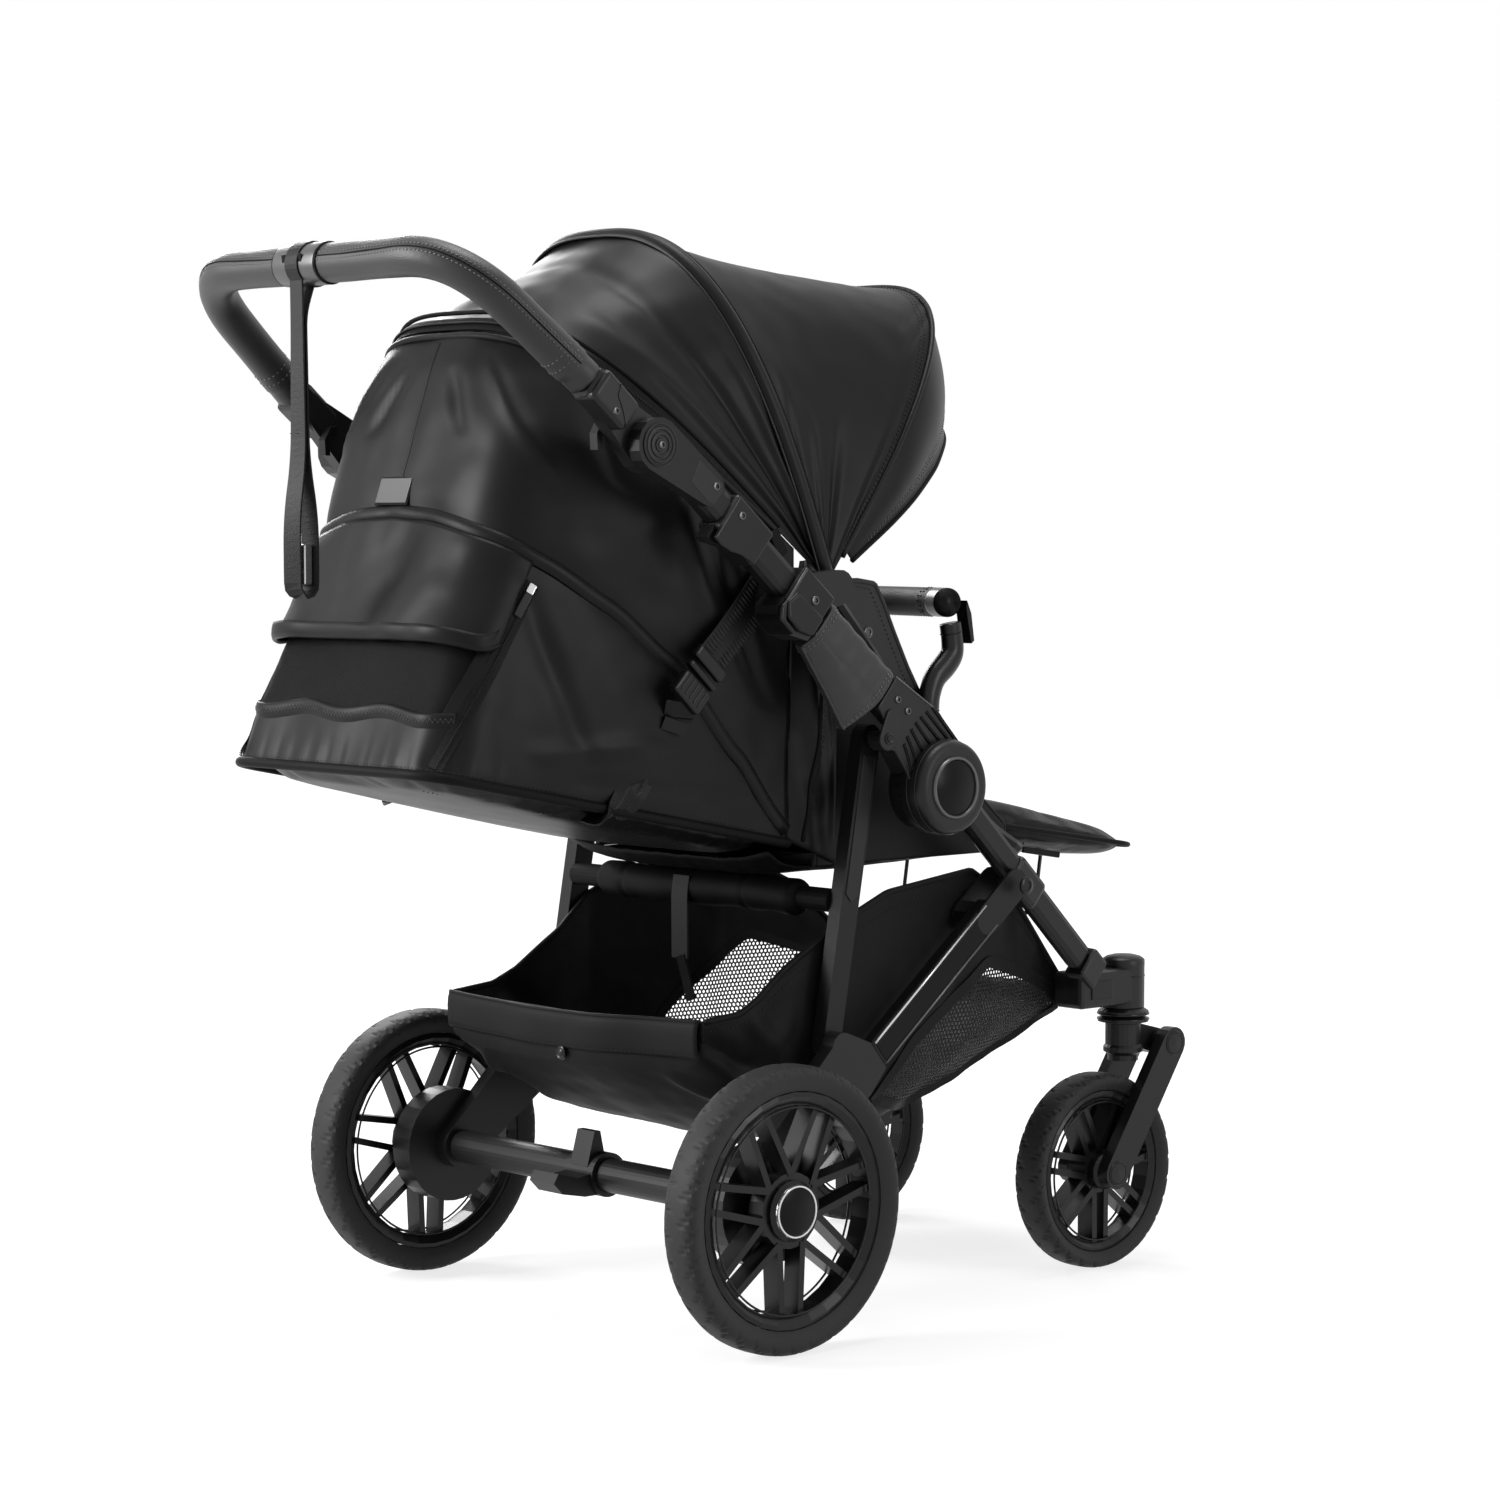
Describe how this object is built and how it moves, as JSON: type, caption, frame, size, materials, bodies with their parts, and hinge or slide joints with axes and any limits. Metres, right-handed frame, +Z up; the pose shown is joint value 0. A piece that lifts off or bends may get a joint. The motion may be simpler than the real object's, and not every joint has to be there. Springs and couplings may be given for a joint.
{
  "type": "pram",
  "caption": "Folding pram with a reclining seat unit, folding hood, swing-away bumper bar, tilting handle, shopping basket, sprung swivelling front wheels and a foot brake.",
  "frame": {"origin": "on the floor under the middle of the pram's bounding box", "axes": "+X to the pram's right, +Y the way it drives, +Z up"},
  "size_m": [0.6284, 1.0723, 1.1243],
  "materials": {
    "fabric": "matt black woven cloth",
    "plastic": "matt black",
    "metal": "black anodised",
    "leather": "black leatherette",
    "tyre": "solid black rubber"
  },
  "bodies": {
    "chassis": {"front_leg_left": "metal", "front_leg_right": "metal", "brace_clamp_left": "plastic", "brace_clamp_right": "plastic", "caster_housing_left": "plastic", "caster_housing_right": "plastic", "basket": "fabric"},
    "rear_frame": {"brace_left": "metal", "brace_right": "metal", "axle_carrier_left": "plastic", "axle_carrier_right": "plastic", "rear_axle": "metal"},
    "brake_pedal": {"brake_pedal": "plastic"},
    "rear_legs": {"rear_leg_left": "metal", "rear_leg_right": "metal", "seat_cross_tube": "metal"},
    "upper_frame": {"hub_bracket_left": "plastic", "hub_bracket_right": "plastic", "upper_tube_left": "metal", "upper_tube_right": "metal", "leather_sleeve_left": "leather", "leather_sleeve_right": "leather", "adapter_left": "plastic", "adapter_right": "plastic"},
    "handle": {"handle_bar": "leather", "handle_knuckle_left": "plastic", "handle_knuckle_right": "plastic"},
    "wrist_strap": {"wrist_strap": "fabric"},
    "seat": {"seat_frame": "metal", "seat_base": "fabric", "harness_buckle": "plastic", "hood_rear": "fabric", "rear_skirt": "fabric", "bumper_arm_left": "plastic", "bumper_arm_right": "plastic"},
    "backrest": {"backrest": "fabric"},
    "leg_rest": {"leg_rest": "fabric", "leg_rest_stay": "metal"},
    "hood": {"hood_main": "fabric", "hood_visor": "fabric"},
    "bumper": {"bumper_bar": "leather"},
    "rear_wheel_left": {"rear_wheel_left_rim": "plastic", "rear_wheel_left_tyre": "tyre"},
    "caster_left": {"caster_stem_left": "plastic"},
    "fork_left": {"fork_left": "plastic"},
    "front_wheel_left": {"front_wheel_left_rim": "plastic", "front_wheel_left_tyre": "tyre"},
    "fold_release_left": {"fold_release_left": "plastic"},
    "tilt_lever_left": {"tilt_lever_left": "plastic"},
    "bumper_latch_left": {"bumper_latch_left": "plastic"},
    "rear_wheel_right": {"rear_wheel_right_rim": "plastic", "rear_wheel_right_tyre": "tyre"},
    "caster_right": {"caster_stem_right": "plastic"},
    "fork_right": {"fork_right": "plastic"},
    "front_wheel_right": {"front_wheel_right_rim": "plastic", "front_wheel_right_tyre": "tyre"},
    "fold_release_right": {"fold_release_right": "plastic"},
    "tilt_lever_right": {"tilt_lever_right": "plastic"},
    "bumper_latch_right": {"bumper_latch_right": "plastic"}
  },
  "joints": [
    {"name": "frame_fold", "type": "hinge", "parent": "chassis", "child": "upper_frame", "pos_m": [0, 0.086, 0.553], "axis": [1, 0, 0], "range_deg": [-60, 0], "deforming": ["basket"]},
    {"name": "rear_frame_fold", "type": "hinge", "parent": "chassis", "child": "rear_frame", "pos_m": [0, 0.217, 0.441], "axis": [1, 0, 0], "range_deg": [-17, 0]},
    {"name": "rear_leg_fold", "type": "hinge", "parent": "upper_frame", "child": "rear_legs", "pos_m": [0, 0.019, 0.606], "axis": [1, 0, 0], "range_deg": [0, 40]},
    {"name": "seat_lift", "type": "slide", "parent": "upper_frame", "child": "seat", "axis": [0, 0, 1], "range_m": [0, 0.12]},
    {"name": "handle_tilt", "type": "hinge", "parent": "upper_frame", "child": "handle", "pos_m": [0, -0.302, 0.902], "axis": [1, 0, 0], "range_deg": [-60, 45], "deforming": ["wrist_strap"]},
    {"name": "fold_release_slide_left", "type": "slide", "parent": "upper_frame", "child": "fold_release_left", "axis": [0, -0.76, 0.6499], "range_m": [0, 0.01], "stiffness_N_per_m": 300, "springref_m": -0.004},
    {"name": "fold_release_slide_right", "type": "slide", "parent": "upper_frame", "child": "fold_release_right", "axis": [0, -0.76, 0.6499], "range_m": [0, 0.01], "stiffness_N_per_m": 300, "springref_m": -0.004},
    {"name": "tilt_lever_squeeze_left", "type": "hinge", "parent": "handle", "child": "tilt_lever_left", "pos_m": [-0.245, -0.3396, 0.9233], "axis": [1, 0, 0], "range_deg": [0, 12], "stiffness_Nm_per_rad": 0.5, "springref_deg": -5.73},
    {"name": "tilt_lever_squeeze_right", "type": "hinge", "parent": "handle", "child": "tilt_lever_right", "pos_m": [0.245, -0.3396, 0.9233], "axis": [1, 0, 0], "range_deg": [0, 12], "stiffness_Nm_per_rad": 0.5, "springref_deg": -5.73},
    {"name": "wrist_strap_swing", "type": "hinge", "parent": "handle", "child": "wrist_strap", "pos_m": [-0.018, -0.5135, 1.0794], "axis": [1, 0, 0], "range_deg": [-90, 0]},
    {"name": "backrest_recline", "type": "hinge", "parent": "seat", "child": "backrest", "pos_m": [0, -0.024, 0.492], "axis": [-1, 0, 0], "range_deg": [0, 45], "deforming": ["rear_skirt"]},
    {"name": "hood_fold", "type": "hinge", "parent": "seat", "child": "hood", "pos_m": [0, -0.022, 0.765], "axis": [1, 0, 0], "range_deg": [0, 45]},
    {"name": "leg_rest_tilt", "type": "hinge", "parent": "seat", "child": "leg_rest", "pos_m": [0, 0.2746, 0.472], "axis": [-1, 0, 0], "range_deg": [-10, 40]},
    {"name": "bumper_swing", "type": "hinge", "parent": "seat", "child": "bumper", "pos_m": [-0.186, 0.169, 0.742], "axis": [0, 0, 1], "range_deg": [0, 80]},
    {"name": "bumper_latch_squeeze_left", "type": "hinge", "parent": "bumper", "child": "bumper_latch_left", "pos_m": [-0.186, 0.191, 0.74], "axis": [1, 0, 0], "range_deg": [-8, 0], "stiffness_Nm_per_rad": 0.5, "springref_deg": 5.73},
    {"name": "bumper_latch_squeeze_right", "type": "hinge", "parent": "bumper", "child": "bumper_latch_right", "pos_m": [0.186, 0.191, 0.74], "axis": [1, 0, 0], "range_deg": [-8, 0], "stiffness_Nm_per_rad": 0.5, "springref_deg": 5.73},
    {"name": "brake_pedal_press", "type": "hinge", "parent": "rear_frame", "child": "brake_pedal", "pos_m": [0, -0.167, 0.145], "axis": [1, 0, 0], "range_deg": [0, 20]},
    {"name": "rear_wheel_spin_left", "type": "hinge", "parent": "rear_frame", "child": "rear_wheel_left", "pos_m": [-0.2927, -0.167, 0.145], "axis": [1, 0, 0], "continuous": true},
    {"name": "rear_wheel_spin_right", "type": "hinge", "parent": "rear_frame", "child": "rear_wheel_right", "pos_m": [0.2927, -0.167, 0.145], "axis": [1, 0, 0], "continuous": true},
    {"name": "caster_swivel_left", "type": "hinge", "parent": "chassis", "child": "caster_left", "pos_m": [-0.1957, 0.44, 0.287], "axis": [0, 0, 1], "continuous": true},
    {"name": "caster_swivel_right", "type": "hinge", "parent": "chassis", "child": "caster_right", "pos_m": [0.1957, 0.44, 0.287], "axis": [0, 0, 1], "continuous": true},
    {"name": "fork_suspension_left", "type": "hinge", "parent": "caster_left", "child": "fork_left", "pos_m": [-0.1957, 0.485, 0.245], "axis": [1, 0, 0], "range_deg": [-5, 2], "stiffness_Nm_per_rad": 60, "springref_deg": 2.12},
    {"name": "fork_suspension_right", "type": "hinge", "parent": "caster_right", "child": "fork_right", "pos_m": [0.1957, 0.485, 0.245], "axis": [1, 0, 0], "range_deg": [-5, 2], "stiffness_Nm_per_rad": 60, "springref_deg": 2.12},
    {"name": "front_wheel_spin_left", "type": "hinge", "parent": "fork_left", "child": "front_wheel_left", "pos_m": [-0.1957, 0.3919, 0.1084], "axis": [1, 0, 0], "continuous": true},
    {"name": "front_wheel_spin_right", "type": "hinge", "parent": "fork_right", "child": "front_wheel_right", "pos_m": [0.1957, 0.3919, 0.1084], "axis": [1, 0, 0], "continuous": true}
  ],
  "couplings": [
    {"joint": "rear_frame_fold", "follows": "frame_fold", "ratio": 0.262},
    {"joint": "rear_leg_fold", "follows": "frame_fold", "ratio": -0.648}
  ]
}
